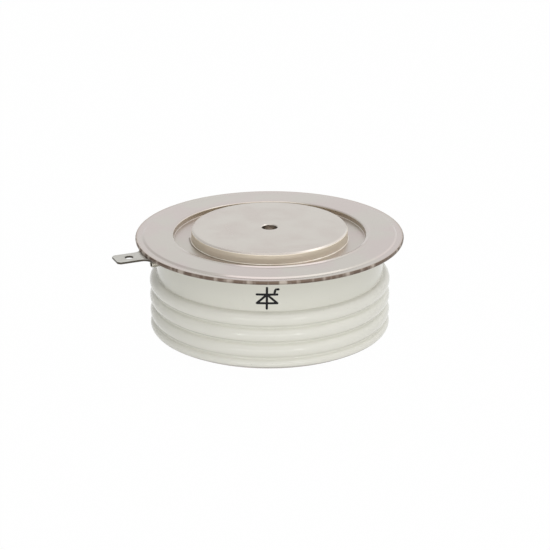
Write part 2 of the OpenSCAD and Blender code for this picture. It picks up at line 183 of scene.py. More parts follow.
def radius_at(wire, spot):
    """A point's distance from the cell's axis."""
    flat = wire.add("ShaderNodeVectorMath", {"operation": "MULTIPLY"}, {0: spot, 1: (1, 1, 0)})
    return wire.add("ShaderNodeVectorMath", {"operation": "LENGTH"}, {0: flat}, output="Value")


def noise(wire, spot, per_mm, detail=2.0):
    """Cloudy values from 0 to 1 with that many clouds to a millimetre."""
    inputs = {"Vector": spot, "Scale": per_mm, "Detail": detail}
    return wire.add("ShaderNodeTexNoise", inputs=inputs, output="Fac")


def marks(wire, measure, per_unit):
    """Values from 0 to 1 that change with one measure alone, such as the radius for a lathe's marks."""
    inputs = {"W": measure, "Scale": per_unit, "Detail": 2.0}
    return wire.add("ShaderNodeTexNoise", {"noise_dimensions": "1D"}, inputs, output="Fac")


def ease(wire, value, low, high):
    """0 below low, 1 above high and a smooth rise between them. low may be the larger one."""
    inputs = {"Value": value, "From Min": low, "From Max": high}
    return wire.add("ShaderNodeMapRange", {"interpolation_type": "SMOOTHSTEP"}, inputs)


def blend(wire, share, a, b):
    """Colour a at share 0 and colour b at share 1."""
    a, b = (c if isinstance(c, Wire) else (*c, 1) for c in (a, b))
    return wire.add("ShaderNodeMix", {"data_type": "RGBA"}, {0: share, 6: a, 7: b}, output=2)


def relief(wire, height, microns):
    """A bump of that full height."""
    inputs = {"Height": height, "Distance": microns * MM * MM, "Strength": 1.0}
    return wire.add("ShaderNodeBump", inputs=inputs)


SHOULDER = 0.8
POLE_EDGE = 0.42
EDGE_SOFT = 0.15
TURNED_EDGE = 0.12
HOLE_RADIUS = 1.75
HOLE_DEPTH = 2.4
HOLE_EDGE = 0.18
DRILL_POINT = 1.05
BEAD_RADIUS = 0.6
BEAD_CLEARANCE = 0.6

POLE_PALE = (0.59, 0.555, 0.51)
POLE_WARM = (0.565, 0.515, 0.475)
POLE_STRAW = (0.78, 0.70, 0.575)
STRAW_FROM = 0.126
STRAW_FULL = 0.042
SATIN = 0.55

body_r = node_box("cathode_pole_piece")[1].x
pole_r = body_r - SHOULDER
pack_r = node_box("anode_pole_piece")[1].x
anode_z = node_box("anode_pole_piece")[1].z
foot_z = node_box("ceramic_housing")[0].z
waist_z = foot_z + BEAD_RADIUS + BEAD_CLEARANCE


def turned_nickel(wire):
    """Nickel over turned copper: fine tool rings and faint cloudy stains. The side is satin, with a straw
    tint that the brazing heat left."""
    spot = place(wire)
    radius = radius_at(wire, spot)
    clouds = noise(wire, spot, 0.16, detail=4.0)
    grain = noise(wire, spot, 9.0)
    feed = marks(wire, radius, 7.0)
    passes = marks(wire, radius, 0.8)
    face = blend(wire, ease(wire, clouds, 0.35, 0.7), POLE_PALE, POLE_WARM)
    heated = ease(wire, radius, pole_r - STRAW_FROM, pole_r - STRAW_FULL)
    return {
        "Base Color": blend(wire, heated, face, POLE_STRAW),
        "Roughness": 0.2 + 0.07 * clouds + 0.04 * passes + 0.2 * heated,
        "Metallic": 1 - SATIN * heated,
        "Normal": relief(wire, feed * 0.7 + grain * 0.3, 0.35),
    }


pole_nickel = surface("turned nickel", {}, turned_nickel)
anode_block = turned(
    eased(
        (0, HOLE_DEPTH + DRILL_POINT),
        (HOLE_RADIUS, HOLE_DEPTH),
        (HOLE_RADIUS, HOLE_EDGE),
        (HOLE_RADIUS + HOLE_EDGE, 0),
        (pole_r - POLE_EDGE, 0, EDGE_SOFT),
        (pole_r, POLE_EDGE, EDGE_SOFT),
        (pole_r, foot_z),
        (body_r, foot_z),
        (body_r, waist_z),
        (pack_r, waist_z, TURNED_EDGE),
        (pack_r, anode_z, TURNED_EDGE),
        (0, anode_z),
    ),
    closed=False,
)
fitted("anode_block", anode_block, pole_nickel, ["anode_pole_piece"])


# Anode flange: a ring stamped from nickel-plated iron-nickel sheet. The pressed bead lets it flex while
# the cell warms up. It is brazed to the ceramic's foot outside and to the anode pole piece inside.

BRAZE_GAP = 0.02
SHEET_EDGE = 0.12
NECK_WALL = 3.25
RIB_STEP = 1.6

SHEET_PINK = (0.545, 0.485, 0.462)
SHEET_GREY = (0.54, 0.51, 0.468)
BLUSH = (0.42, 0.33, 0.26)
BLUSH_WIDTH = 0.7
# Painted shade: an olive tint that darkens the walls of the recess round the pole piece.
RECESS_SHADE_OLIVE = (0.45, 0.395, 0.315)
RECESS_WITHIN = 5.5
RECESS_DROP = 0.2
# Painted shade: a dark brown ring on the sheet and the solder beside the pole piece's foot, at the front
# left.
PAINTED_SHADE_BROWN = (0.20, 0.17, 0.135)
SHADE_WIDTH = 0.75
SHADE_END = math.radians(-68)
SHADE_FADE = math.radians(18)

flange_r, flange_z = node_box("cathode_diaphragm")[1].xz
recess_z = node_box("cathode_diaphragm")[0].z
crest_r = node_box("ceramic_housing")[1].x
neck_r = crest_r - RIB_STEP
bore_r = neck_r - NECK_WALL
rim_r = node_box("anode_flange")[1].x
sheet_z = node_box("anode_flange")[0].z
bead_r = (body_r + bore_r) / 2
crown = BEAD_RADIUS + foot_z - sheet_z
crown_reach = math.sqrt(crown**2 - (foot_z - sheet_z) ** 2)


def share_along(wire, vector, axis):
    """A vector's share along X, Y or Z."""
    return wire.add("ShaderNodeSeparateXYZ", inputs={0: vector}, output=axis)


def turn_at(wire, spot):
    """A point's turn about the cell's axis, from the right."""
    return wire.math("ARCTAN2", share_along(wire, spot, "Y"), share_along(wire, spot, "X"))


def shade_front_left(wire, spot):
    """1 at the front left, where shade is painted beside the pole piece's foot, and 0 elsewhere."""
    return ease(wire, turn_at(wire, spot), SHADE_END, SHADE_END - SHADE_FADE)


def stamped_nickel(wire):
    """Nickel on stamped sheet, slightly uneven in tint, with a heat blush towards the rim weld. Painted
    shade makes the recess walls darker and olive, and lays a dark ring beside the pole piece at the front
    left."""
    spot = place(wire)
    radius = radius_at(wire, spot)
    height = share_along(wire, spot, "Z")
    clouds = noise(wire, spot, 0.09, detail=3.0)
    peel = noise(wire, spot, 1.6, detail=3.0)
    draw = marks(wire, radius, 3.0)
    inside = ease(wire, radius, pole_r + RECESS_WITHIN, pole_r + RECESS_WITHIN - RECESS_DROP)
    recess = inside * ease(wire, height, flange_z - RECESS_DROP, flange_z - 2 * RECESS_DROP)
    # Painted shade: the recess walls, between the flange's top and the recess floor, take the olive tint.
    recess_shade = inside * ease(wire, height, flange_z - 0.5 * RECESS_DROP, flange_z - 1.5 * RECESS_DROP)
    recess_shade = recess_shade * ease(wire, height, recess_z + 2 * RECESS_DROP, recess_z + 3 * RECESS_DROP)
    # Painted shade: a dark ring beside the pole piece, at the front left only.
    painted_shade = ease(wire, radius, pole_r + SHADE_WIDTH, pole_r + 0.5 * SHADE_WIDTH) * shade_front_left(wire, spot)
    blush = ease(wire, radius, flange_r - BLUSH_WIDTH, flange_r) * 0.7
    tint = blend(wire, ease(wire, clouds, 0.38, 0.62), SHEET_PINK, SHEET_GREY)
    tint = blend(wire, recess_shade, tint, RECESS_SHADE_OLIVE)
    tint = blend(wire, painted_shade, tint, PAINTED_SHADE_BROWN)
    return {
        "Base Color": blend(wire, blush, tint, BLUSH),
        "Roughness": 0.13 + 0.07 * clouds + 0.04 * peel + 0.16 * recess,
        "Normal": relief(wire, peel * 0.8 + draw * 0.2, 0.8),
    }


sheet_nickel = surface("stamped nickel", {"Metallic": 1.0}, stamped_nickel)
bead = (bead_r, sheet_z)
under = arc(bead, (bead_r - BEAD_RADIUS, sheet_z), (bead_r, sheet_z + BEAD_RADIUS))
under += arc(bead, (bead_r, sheet_z + BEAD_RADIUS), (bead_r + BEAD_RADIUS, sheet_z))[1:]
over = arc(bead, (bead_r + crown_reach, foot_z), (bead_r, sheet_z + crown))
over += arc(bead, (bead_r, sheet_z + crown), (bead_r - crown_reach, foot_z))[1:]
edge = eased(under[-1], (rim_r, sheet_z, SHEET_EDGE), (rim_r, foot_z, SHEET_EDGE), over[0])[1:-1]
inner_edge = [(pole_r + BRAZE_GAP, foot_z), (pole_r + BRAZE_GAP, sheet_z)]
anode_sheet = turned(under + edge + over + inner_edge)
fitted("anode_sheet", anode_sheet, sheet_nickel, ["anode_flange"])


# Ceramic ring: pressed and fired alumina with a plain neck, full ribs and a narrower rib at the foot.
# The ribs lengthen the creepage path between anode and cathode. It is glazed down to its bare foot and
# brazed to the flange sheets. A bored hole in the neck lets the gate tube through.

RIB_COUNT = 3
RIB_PITCH = 3.6
RIB_DEPTH = 1.05
HOLLOW = 0.35
NECK_HOLLOW = 0.15
FOOT_RIB = 1.0
FOOT_PITCH = 2.9
RIB_STEPS = 20

GLAZE = (0.75, 0.74, 0.67)
GLAZE_POOL = (0.70, 0.695, 0.615)
POOL_FROM = 0.5
SPECK = (0.42, 0.40, 0.34)
# The foot is unglazed alumina, painted much darker than alumina as shade where it faces the floor.
BARE_SHADED_ALUMINA = (0.44, 0.42, 0.39)
BARE_SHADED_FOOT = 0.65

TUBE_ANGLE = math.radians(207.5)
TUBE_RADIUS = 0.7
TUBE_DROP = 1.47
TUBE_STEPS = 48
CUT_MARGIN = 1.0

neck_z = node_box("ceramic_housing")[1].z
tube_z = neck_z - TUBE_DROP
rib_r = (RIB_DEPTH**2 + RIB_PITCH**2 / 4) / (2 * RIB_DEPTH) - HOLLOW


def beside(upper, lower, to_upper, to_lower):
    """Centre of the hollow that touches two ribs, outside of the line between their centres."""
    along = lower - upper
    gap = along.length
    reach = (gap**2 + to_upper**2 - to_lower**2) / (2 * gap)
    out = math.sqrt(to_upper**2 - reach**2)
    along.normalize()
    return upper + along * reach + Vector((-along.y, along.x)) * out


def ribbed_outline():
    """The ring's outline, from the top of the neck down over the ribs and back up the bore."""
    foot = Vector((crest_r - FOOT_RIB, foot_z + FOOT_RIB))
    low_rib_z = foot.y + FOOT_PITCH
    ribs = [Vector((crest_r - rib_r, low_rib_z + i * RIB_PITCH)) for i in reversed(range(RIB_COUNT))]
    rise = math.sqrt((rib_r + NECK_HOLLOW) ** 2 - (neck_r + NECK_HOLLOW - ribs[0].x) ** 2)
    rounds = [(Vector((neck_r + NECK_HOLLOW, ribs[0].y + rise)), NECK_HOLLOW), (ribs[0], rib_r)]
    for upper, lower in zip(ribs, ribs[1:]):
        rounds += [(beside(upper, lower, rib_r + HOLLOW, rib_r + HOLLOW), HOLLOW), (lower, rib_r)]
    rounds += [(beside(ribs[-1], foot, rib_r + HOLLOW, FOOT_RIB + HOLLOW), HOLLOW), (foot, FOOT_RIB)]
    outline = [(neck_r, neck_z)]
    start = Vector((neck_r, rounds[0][0].y))
    for (centre, radius), (following, next_radius) in zip(rounds, rounds[1:]):
        end = centre + (following - centre) * radius / (radius + next_radius)
        outline += arc(centre, start, end, RIB_STEPS)
        start = end
    outline += arc(foot, start, Vector((foot.x, foot_z)), RIB_STEPS)[1:]
    return outline + [(bore_r, foot_z), (bore_r, neck_z)]


def glazed_alumina(wire):
    """Glossy glaze with small specks, thicker and greener in the hollows. The unglazed foot is matt and
    painted dark as shade.
    """
    spot = place(wire)
    clouds = noise(wire, spot, 0.12, detail=3.0)
    flow = noise(wire, spot, 0.45)
    grains = noise(wire, spot, 3.2, detail=1.0)
    pool = ease(wire, radius_at(wire, spot), crest_r - POOL_FROM, crest_r - RIB_DEPTH)
    glaze = blend(wire, pool * 0.55 + clouds * 0.35, GLAZE, GLAZE_POOL)
    specks = ease(wire, grains, 0.74, 0.8) * 0.5
    height = share_along(wire, spot, "Z")
    # Painted shade: the unglazed band at the foot is darkened.
    bare_shaded = ease(wire, height, foot_z + BARE_SHADED_FOOT, foot_z + 0.5 * BARE_SHADED_FOOT)
    return {
        "Base Color": blend(wire, bare_shaded, blend(wire, specks, glaze, SPECK), BARE_SHADED_ALUMINA),
        "Roughness": 0.1 + 0.06 * clouds + 0.5 * bare_shaded,
        "Normal": relief(wire, flow * 0.8 + grains * 0.04, 9.0),
    }


def joined(stock, tool, operation):
    """Two bodies put together by a boolean operation, as one new body."""
    shapes = []
    for body in (stock, tool):
        bmesh.ops.recalc_face_normals(body, faces=body.faces)
        mesh = bpy.data.meshes.new("shape")
        body.to_mesh(mesh)
        body.free()
        shapes.append(bpy.data.objects.new("shape", mesh))
        bpy.context.scene.collection.objects.link(shapes[-1])
    step = shapes[0].modifiers.new("join", "BOOLEAN")
    step.operation = operation
    step.solver = "EXACT"
    step.object = shapes[1]
    result = bmesh.new()
    result.from_mesh(shapes[0].evaluated_get(bpy.context.evaluated_depsgraph_get()).to_mesh())
    for shape in shapes:
        bpy.data.meshes.remove(shape.data)
    return result


def along_tube(body):
    """A body turned about Z, laid along the gate tube's axis with its Z pointing out of the cell."""
    lie = Matrix.Rotation(TUBE_ANGLE, 4, "Z") @ Matrix.Rotation(math.pi / 2, 4, "Y")
    body.transform(Matrix.Translation((0, 0, tube_z * MM)) @ lie)
    return body


drill_r = TUBE_RADIUS + BRAZE_GAP
drill_start = bore_r - CUT_MARGIN
drill_outline = [(0, drill_start), (drill_r, drill_start), (drill_r, crest_r), (0, crest_r)]
drill = along_tube(turned(drill_outline, closed=False, steps=TUBE_STEPS))
ring = joined(turned(ribbed_outline()), drill, "DIFFERENCE")
ring_glaze = surface("glazed alumina", {"IOR": 1.52}, glazed_alumina)
fitted("ceramic_ring", ring, ring_glaze, ["ceramic_housing"])


# Wafer pack: the silicon disc with its cast rubber edge is alloyed to a molybdenum disc. A loose
# molybdenum disc lies on it, and a plastic ring lines the pack up. All of it is sealed inside.

GRAINS_IN_CLOUD = 20


def inner_finish(name, pale, deep, metallic, roughness, per_mm, microns):
    """A plain finish for a piece inside the cell: slightly cloudy colour and gloss, and a fine grain."""

    def varying(wire):
        spot = place(wire)
        clouds = noise(wire, spot, per_mm, detail=3.0)
        grain = noise(wire, spot, GRAINS_IN_CLOUD * per_mm)
        return {
            "Base Color": blend(wire, clouds, pale, deep),
            "Roughness": roughness - 0.05 + 0.1 * clouds,
            "Normal": relief(wire, grain, microns),
        }

    return surface(name, {"Metallic": metallic}, varying)


def dressed(finish, *nodes):
    """Gives CAD nodes a finish."""
    for node in nodes:
        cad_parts[node].material_slots[0].material = finish


lapped_molybdenum = inner_finish(
    "lapped molybdenum",
    pale=(0.42, 0.43, 0.45),
    deep=(0.34, 0.35, 0.37),
    metallic=1.0,
    roughness=0.4,
    per_mm=0.3,
    microns=1.0,
)
etched_silicon = inner_finish(
    "etched silicon",
    pale=(0.10, 0.105, 0.13),
    deep=(0.07, 0.075, 0.10),
    metallic=0.6,
    roughness=0.2,
    per_mm=0.2,
    microns=0.5,
)
cast_rubber = inner_finish(
    "cast rubber",
    pale=(0.36, 0.06, 0.03),
    deep=(0.28, 0.045, 0.025),
    metallic=0.0,
    roughness=0.5,
    per_mm=0.4,
    microns=6.0,
)
white_plastic = inner_finish(
    "white plastic",
    pale=(0.82, 0.81, 0.77),
    deep=(0.76, 0.75, 0.70),
    metallic=0.0,
    roughness=0.45,
    per_mm=0.3,
    microns=3.0,
)
dressed(lapped_molybdenum, "anode_molybdenum_disc", "cathode_molybdenum_disc")
dressed(etched_silicon, "silicon_wafer")
dressed(cast_rubber, "wafer_edge_rubber")
dressed(white_plastic, "centring_ring")


# Gate stack: an insulating cup in the cathode pole piece holds a washer, a coil spring and a silvered
# pin that the spring presses on the middle of the silicon. A sleeved wire leads from it to the tube.

drawn_steel = inner_finish(
    "drawn steel",
    pale=(0.50, 0.50, 0.50),
    deep=(0.42, 0.42, 0.42),
    metallic=1.0,
    roughness=0.3,
    per_mm=0.8,
    microns=1.0,
)
silver_plate = inner_finish(
    "silver plate",
    pale=(0.80, 0.78, 0.74),
    deep=(0.72, 0.70, 0.66),
    metallic=1.0,
    roughness=0.25,
    per_mm=0.6,
    microns=1.0,
)
dressed(white_plastic, "gate_insulating_cup", "gate_lead_sleeve")
dressed(drawn_steel, "gate_thrust_washer", "gate_spring")
dressed(silver_plate, "gate_contact_pin", "gate_lead")


# Gate tube: a small nickel-silver tube brazed through the ceramic's neck, with a collar on the glaze.
# Its inner half holds the gate wire, and its open end is the socket for the plug.

SOCKET_RADIUS = 0.5
SOCKET_DEPTH = 3.5
WIRE_BORE = 0.32
TUBE_INSET = 0.9
TUBE_INSIDE = 0.6
TUBE_EDGE = 0.07
COLLAR_RADIUS = 1.05
COLLAR = 0.35
COLLAR_FILLET = 0.2

TUBE_PALE = (0.56, 0.53, 0.47)
TUBE_DULL = (0.36, 0.34, 0.28)

tube_end = flange_r - TUBE_INSET
tube_start = bore_r - TUBE_INSIDE
socket_floor = tube_end - SOCKET_DEPTH


def dull_nickel(wire):
    """Plating that the braze's flux has dulled in patches."""
    spot = place(wire)
    clouds = noise(wire, spot, 0.9, detail=4.0)
    grain = noise(wire, spot, 12.0)
    return {
        "Base Color": blend(wire, ease(wire, clouds, 0.3, 0.7), TUBE_PALE, TUBE_DULL),
        "Roughness": 0.3 + 0.15 * clouds,
        "Normal": relief(wire, grain, 1.5),
    }


tube_nickel = surface("dull nickel", {"Metallic": 1.0}, dull_nickel)
tube_outline = eased(
    (WIRE_BORE, tube_start),
    (TUBE_RADIUS, tube_start, TUBE_EDGE),
    (TUBE_RADIUS, neck_r),
    (COLLAR_RADIUS, neck_r),
    (COLLAR_RADIUS, neck_r + COLLAR, TUBE_EDGE),
    (TUBE_RADIUS, neck_r + COLLAR, COLLAR_FILLET),
    (TUBE_RADIUS, tube_end, TUBE_EDGE),
    (SOCKET_RADIUS, tube_end, TUBE_EDGE),
    (SOCKET_RADIUS, socket_floor),
    (WIRE_BORE, socket_floor),
)
gate_socket = along_tube(turned(tube_outline, steps=TUBE_STEPS))
fitted("gate_socket_tube", gate_socket, tube_nickel, ["gate_tube"])


# Cathode pole piece: the upper copper block, turned and nickel-plated like the lower one. Its round face
# is the cathode contact. A cavity below holds the gate stack, with a slot for the gate's lead.

CAVITY_RADIUS = 4.0
CAVITY_WEB = 1.05
RECESS_DEPTH = 1.3
SHEET = 0.4
LEAD_SLOT = 1.8
LEAD_RISE = 2.4

cell_z = node_box("cathode_pole_piece")[1].z
block_z = node_box("cathode_pole_piece")[0].z
floor_z = flange_z - RECESS_DEPTH
shoulder_z = floor_z - SHEET
drilled_z = cell_z - HOLE_DEPTH - DRILL_POINT
cavity_z = drilled_z - CAVITY_WEB
slot_z = block_z + LEAD_RISE + LEAD_SLOT / 2

cathode_block = turned(
    eased(
        (0, drilled_z),
        (HOLE_RADIUS, cell_z - HOLE_DEPTH),
        (HOLE_RADIUS, cell_z - HOLE_EDGE),
        (HOLE_RADIUS + HOLE_EDGE, cell_z),
        (pole_r - POLE_EDGE, cell_z, EDGE_SOFT),
        (pole_r, cell_z - POLE_EDGE, EDGE_SOFT),
        (pole_r, shoulder_z),
        (body_r, shoulder_z, TURNED_EDGE),
        (body_r, block_z, TURNED_EDGE),
        (CAVITY_RADIUS, block_z),
        (CAVITY_RADIUS, cavity_z),
        (0, cavity_z),
    ),
    closed=False,
)
slot_size = Vector((body_r + CUT_MARGIN, LEAD_SLOT, slot_z - block_z + CUT_MARGIN)) * MM
slot_middle = Vector((slot_size.x / 2, 0, slot_z * MM - slot_size.z / 2))
slot_place = Matrix.Rotation(TUBE_ANGLE, 4, "Z") @ Matrix.Translation(slot_middle)
slot_cutter = bmesh.new()
bmesh.ops.create_cube(slot_cutter, size=1, matrix=slot_place @ Matrix.Diagonal((*slot_size, 1)))
cathode_block = joined(cathode_block, slot_cutter, "DIFFERENCE")
fitted("cathode_block", cathode_block, pole_nickel, ["cathode_pole_piece"])


# Upper flange sheet: one stamping of nickel-plated sheet with a flexing recess around the pole piece
# and a pressed band along its rim. It is brazed to the pole piece and welded to the sheet below.

RECESS_WIDTH = 4.4
FLOOR_BEND = 0.2
EDGE_BEND = 0.42
WELD_BAND = 1.5
WELD_SLOPE = 0.45
WELD_BEND = 0.25
WELD_DROP = 0.33
WELD_MELT = 0.2
LIP_RISE = 0.27
LIP_OUT = 0.45
LIP_INSIDE = 0.45
LIP_OUTSIDE = 0.38
LIP_TOWARD = math.radians(-72)
LIP_STEPS = 22
FLAT_STEPS = 6
FLANGE_WAVE = 0.018
WAVES_ROUND = ((2, 0.6, 1.0), (5, 2.0, 0.6))

wall_r = pole_r + RECESS_WIDTH - EDGE_BEND
lip_r = wall_r + EDGE_BEND
slope_r = flange_r - WELD_BAND
bend_r = slope_r - WELD_SLOPE
weld_r = flange_r - WELD_MELT
band_z = flange_z - WELD_DROP


def level(start_r, end_r, z, steps):
    """Points of a level stretch, evenly spread after its start."""
    return [(start_r + (end_r - start_r) * i / steps, z) for i in range(1, steps + 1)]


def sheet_side(depth):
    """One side of the stamped sheet, at a depth below its upper side, from the pole piece to the weld."""
    side_wall = wall_r + depth
    top_z = flange_z - depth
    inner = (pole_r + BRAZE_GAP, floor_z - depth)
    floor_centre = (side_wall - FLOOR_BEND - depth, floor_z + FLOOR_BEND)
    edge_centre = (lip_r, flange_z - EDGE_BEND)
    bends = arc(floor_centre, (floor_centre[0], floor_z - depth), (side_wall, floor_centre[1]))
    bends += arc(edge_centre, (side_wall, edge_centre[1]), (lip_r, top_z))
    lip = level(lip_r, lip_r + LIP_OUT + LIP_OUTSIDE, top_z, LIP_STEPS)
    flat = level(lip[-1][0], bend_r, top_z, FLAT_STEPS)[:-1]
    slope = eased(
        flat[-1],
        (bend_r, top_z, WELD_BEND),
        (slope_r, band_z - depth, WELD_BEND),
        (weld_r, band_z - depth),
    )
    return [inner] + bends + lip + flat + slope[1:]


def sprung(r, z, angle):
    """The free sheet springs back after stamping: the lip of the recess stands a little proud at the
    front, and slight waves run round the flange between the lip and the weld band."""
    out = r - lip_r
    half = LIP_INSIDE if out < LIP_OUT else LIP_OUTSIDE
    ridge = LIP_RISE * max(1 - abs(out - LIP_OUT) / half, 0)
    ridge *= max(math.cos(angle - LIP_TOWARD), 0)
    across = min(max(out / (bend_r - lip_r), 0), 1)
    waves = sum(share * math.sin(count * angle + start) for count, start, share in WAVES_ROUND)
    return r, z + ridge + FLANGE_WAVE * math.sin(math.pi * across) * waves


upper_sheet = turned(sheet_side(0) + sheet_side(SHEET)[::-1], sway=sprung)
fitted("upper_flange", upper_sheet, sheet_nickel, ["cathode_diaphragm"])


# Braze fillets: silver solder that ran out of the joints between the sheets and the pole pieces. It set
# in a thin hollow ring at the foot of each contact face's side.

FILLET = 0.22
SUNK = 0.02

SOLDER_PALE = (0.74, 0.70, 0.63)
SOLDER_WARM = (0.66, 0.59, 0.50)


def run_solder(wire):
    """Solder that has flowed: bright and slightly wavy, darkened a little at the front left by painted
    shade.
    """
    spot = place(wire)
    clouds = noise(wire, spot, 0.6, detail=3.0)
    waves = noise(wire, spot, 2.2)
    # Painted shade: the solder is darkened a little at the front left.
    painted_shade = 0.15 * shade_front_left(wire, spot)
    solder = blend(wire, ease(wire, clouds, 0.3, 0.7), SOLDER_PALE, SOLDER_WARM)
    return {
        "Base Color": blend(wire, painted_shade, solder, PAINTED_SHADE_BROWN),
        "Roughness": 0.28 + 0.12 * clouds + 0.15 * painted_shade,
        "Normal": relief(wire, waves, 3.0),
    }


silver_solder = surface("silver solder", {"Metallic": 1.0}, run_solder)
for name, seat_z, side in (("upper_braze", floor_z, 1), ("lower_braze", sheet_z, -1)):
    toe = (pole_r + FILLET, seat_z)
    crest = (pole_r, seat_z + side * FILLET)
    sunk_r = pole_r - SUNK
    sunk_z = seat_z - side * SUNK
    hollow = arc((toe[0], crest[1]), toe, crest)
    root = [(sunk_r, crest[1]), (sunk_r, sunk_z), (toe[0], sunk_z)]
    fitted(name, turned(hollow + root), silver_solder)


# Lower flange sheet: a flat ring stamped from the same nickel-plated sheet. It is brazed to the
# metallised top of the ceramic and carries the weld at its rim.

BORE_SETBACK = 0.2

seam_z = band_z - SHEET
lower_bore = bore_r + BORE_SETBACK
lower_sheet = turned([(lower_bore, neck_z), (weld_r, neck_z), (weld_r, seam_z), (lower_bore, seam_z)])
fitted("lower_flange", lower_sheet, sheet_nickel, ["ceramic_weld_flange"])


# Rim weld: the edges of both sheets are melted into one rounded bead all the way round, which seals the
# cell. The bead is finely rippled and browned by the heat.

RIPPLES = 300
RIPPLE = 0.02
RIPPLE_STEPS = 5
RIPPLE_DRIFT = 2
DRIFTS_ROUND = 9
WELD_STEPS = 12

WELD_BROWN = (0.15, 0.11, 0.085)
WELD_GREY = (0.41, 0.36, 0.31)

rim_middle = (band_z + neck_z) / 2
rim_half = (band_z - neck_z) / 2


def weld_scale(wire):
    """Browned weld metal with short greyer stretches along the rim."""
    spot = place(wire)
    clouds = noise(wire, spot, 0.35, detail=4.0)
    grain = noise(wire, spot, 8.0)
    stretches = marks(wire, turn_at(wire, spot) * flange_r, 0.42) * 0.7 + clouds * 0.3
    return {
        "Base Color": blend(wire, ease(wire, stretches, 0.46, 0.66), WELD_BROWN, WELD_GREY),
        "Roughness": 0.38 + 0.2 * clouds,
        "Normal": relief(wire, grain, 4.0),
    }


def rippled(r, z, angle):
    """Ripples of the weld pool, deepest on the outside of the bead."""
    proud = (r - weld_r) / WELD_MELT
    phase = RIPPLES * angle + RIPPLE_DRIFT * math.sin(DRIFTS_ROUND * angle)
    return r - RIPPLE * proud * (0.5 + 0.5 * math.sin(phase)), z


weld_angles = [math.pi * (i / WELD_STEPS - 0.5) for i in range(WELD_STEPS + 1)]
weld_outline = [
    (weld_r + WELD_MELT * math.cos(a), rim_middle + rim_half * math.sin(a)) for a in weld_angles
]
weld_metal = surface("browned weld", {"Metallic": 0.9}, weld_scale)
fitted("rim_weld", turned(weld_outline, steps=RIPPLE_STEPS * RIPPLES, sway=rippled), weld_metal)


# Auxiliary cathode tab: a plug-in tongue stamped from plated strip, with a hole for the receptacle's
# detent. Its widened foot is spot-welded under the rim.

TAB_ANGLE = math.radians(202.8)
TAB_WIDTH = 4.8
TAB_REACH = 6.5
TAB_CHAMFER = 0.6
TAB_CORNER = 0.25
TAB_HOLE_RADIUS = 0.95
TAB_HOLE_INSET = 3.3
TAB_FILLET = 1.69
TAB_LAND = 0.01
TAB_FOOT_INSET = 0.5
TAB_FOOT_GAP = 0.75
TAB_EDGE = 0.07
PUNCH_STEPS = 64
PUNCH_EDGE_STEPS = 3
SAME_SPOT = 1e-7

TAB_PALE = (0.60, 0.595, 0.555)
TAB_DEEP = (0.50, 0.485, 0.45)
# The tab's cut edges: unplated metal, painted near black as shade.
SHEARED_EDGE_SHADE = (0.085, 0.075, 0.062)
RUBS_PER_RADIAN = 240.0

tab_tip = flange_r + TAB_REACH
tab_low = node_box("auxiliary_cathode_tab")[0].z
tab_sheet = node_box("auxiliary_cathode_tab")[1].z - tab_low


def strip_plate(wire):
    """Matt plating on rolled strip, with faint marks of plugging along the tab. Its cut edges are
    unplated metal, painted near black as shade.
    """
    spot = place(wire)
    clouds = noise(wire, spot, 0.35, detail=3.0)
    grain = noise(wire, spot, 7.0)
    rubbed = marks(wire, turn_at(wire, spot), RUBS_PER_RADIAN)
    facing = share_along(wire, wire.add("ShaderNodeNewGeometry", output="True Normal"), "Z")
    # Painted shade: the faces that are not level, the tab's edges, turn near black.
    sheared_and_shaded = ease(wire, wire.math("ABSOLUTE", facing), 0.75, 0.45)
    plating = blend(wire, ease(wire, clouds, 0.3, 0.7), TAB_PALE, TAB_DEEP)
    return {
        "Base Color": blend(wire, sheared_and_shaded, plating, SHEARED_EDGE_SHADE),
        "Roughness": 0.3 + 0.1 * clouds + 0.08 * rubbed,
        "Normal": relief(wire, grain * 0.6 + rubbed * 0.4, 2.0),
    }


def tab_outline():
    """The tab seen from above, pointing along +X: tip with cut corners, fillets and a wide foot."""
    half = TAB_WIDTH / 2
    foot_half = half + TAB_FILLET + TAB_LAND
    foot_start = neck_r + TAB_FOOT_GAP
    foot_end = flange_r - TAB_FOOT_INSET
    side = eased(
        (foot_end, foot_half),
        (foot_end, half, TAB_FILLET),
        (tab_tip - TAB_CHAMFER, half, TAB_CORNER),
        (tab_tip, half - TAB_CHAMFER, TAB_CORNER),
        (tab_tip, 0),
    )[:-1]
    side.insert(0, (foot_start, foot_half))
    return side + [(x, -y) for x, y in reversed(side)]


def punched(outer, hole_centre, hole_r, thickness, edge):
    """A flat stamping with one hole and softened edges, its lower side at z = 0."""
    plan = bpy.data.curves.new("stamping", "CURVE")
    plan.dimensions = "2D"
    plan.fill_mode = "BOTH"
    plan.extrude = (thickness / 2 - edge) * MM
    plan.bevel_depth = edge * MM
    plan.bevel_resolution = PUNCH_EDGE_STEPS
    plan.offset = -edge * MM
    angles = [2 * math.pi * k / PUNCH_STEPS for k in range(PUNCH_STEPS)]
    hole = [(hole_centre + hole_r * math.cos(a), hole_r * math.sin(a)) for a in angles]
    for loop in (outer, hole):
        spline = plan.splines.new("POLY")
        spline.points.add(len(loop) - 1)
        for point, (x, y) in zip(spline.points, loop):
            point.co = (x * MM, y * MM, 0, 1)
        spline.use_cyclic_u = True
    holder = bpy.data.objects.new("stamping", plan)
    bpy.context.scene.collection.objects.link(holder)
    body = bmesh.new()
    body.from_mesh(holder.evaluated_get(bpy.context.evaluated_depsgraph_get()).to_mesh())
    bpy.data.objects.remove(holder)
    bmesh.ops.remove_doubles(body, verts=body.verts, dist=SAME_SPOT)
    body.transform(Matrix.Translation((0, 0, thickness / 2 * MM)))
    return body


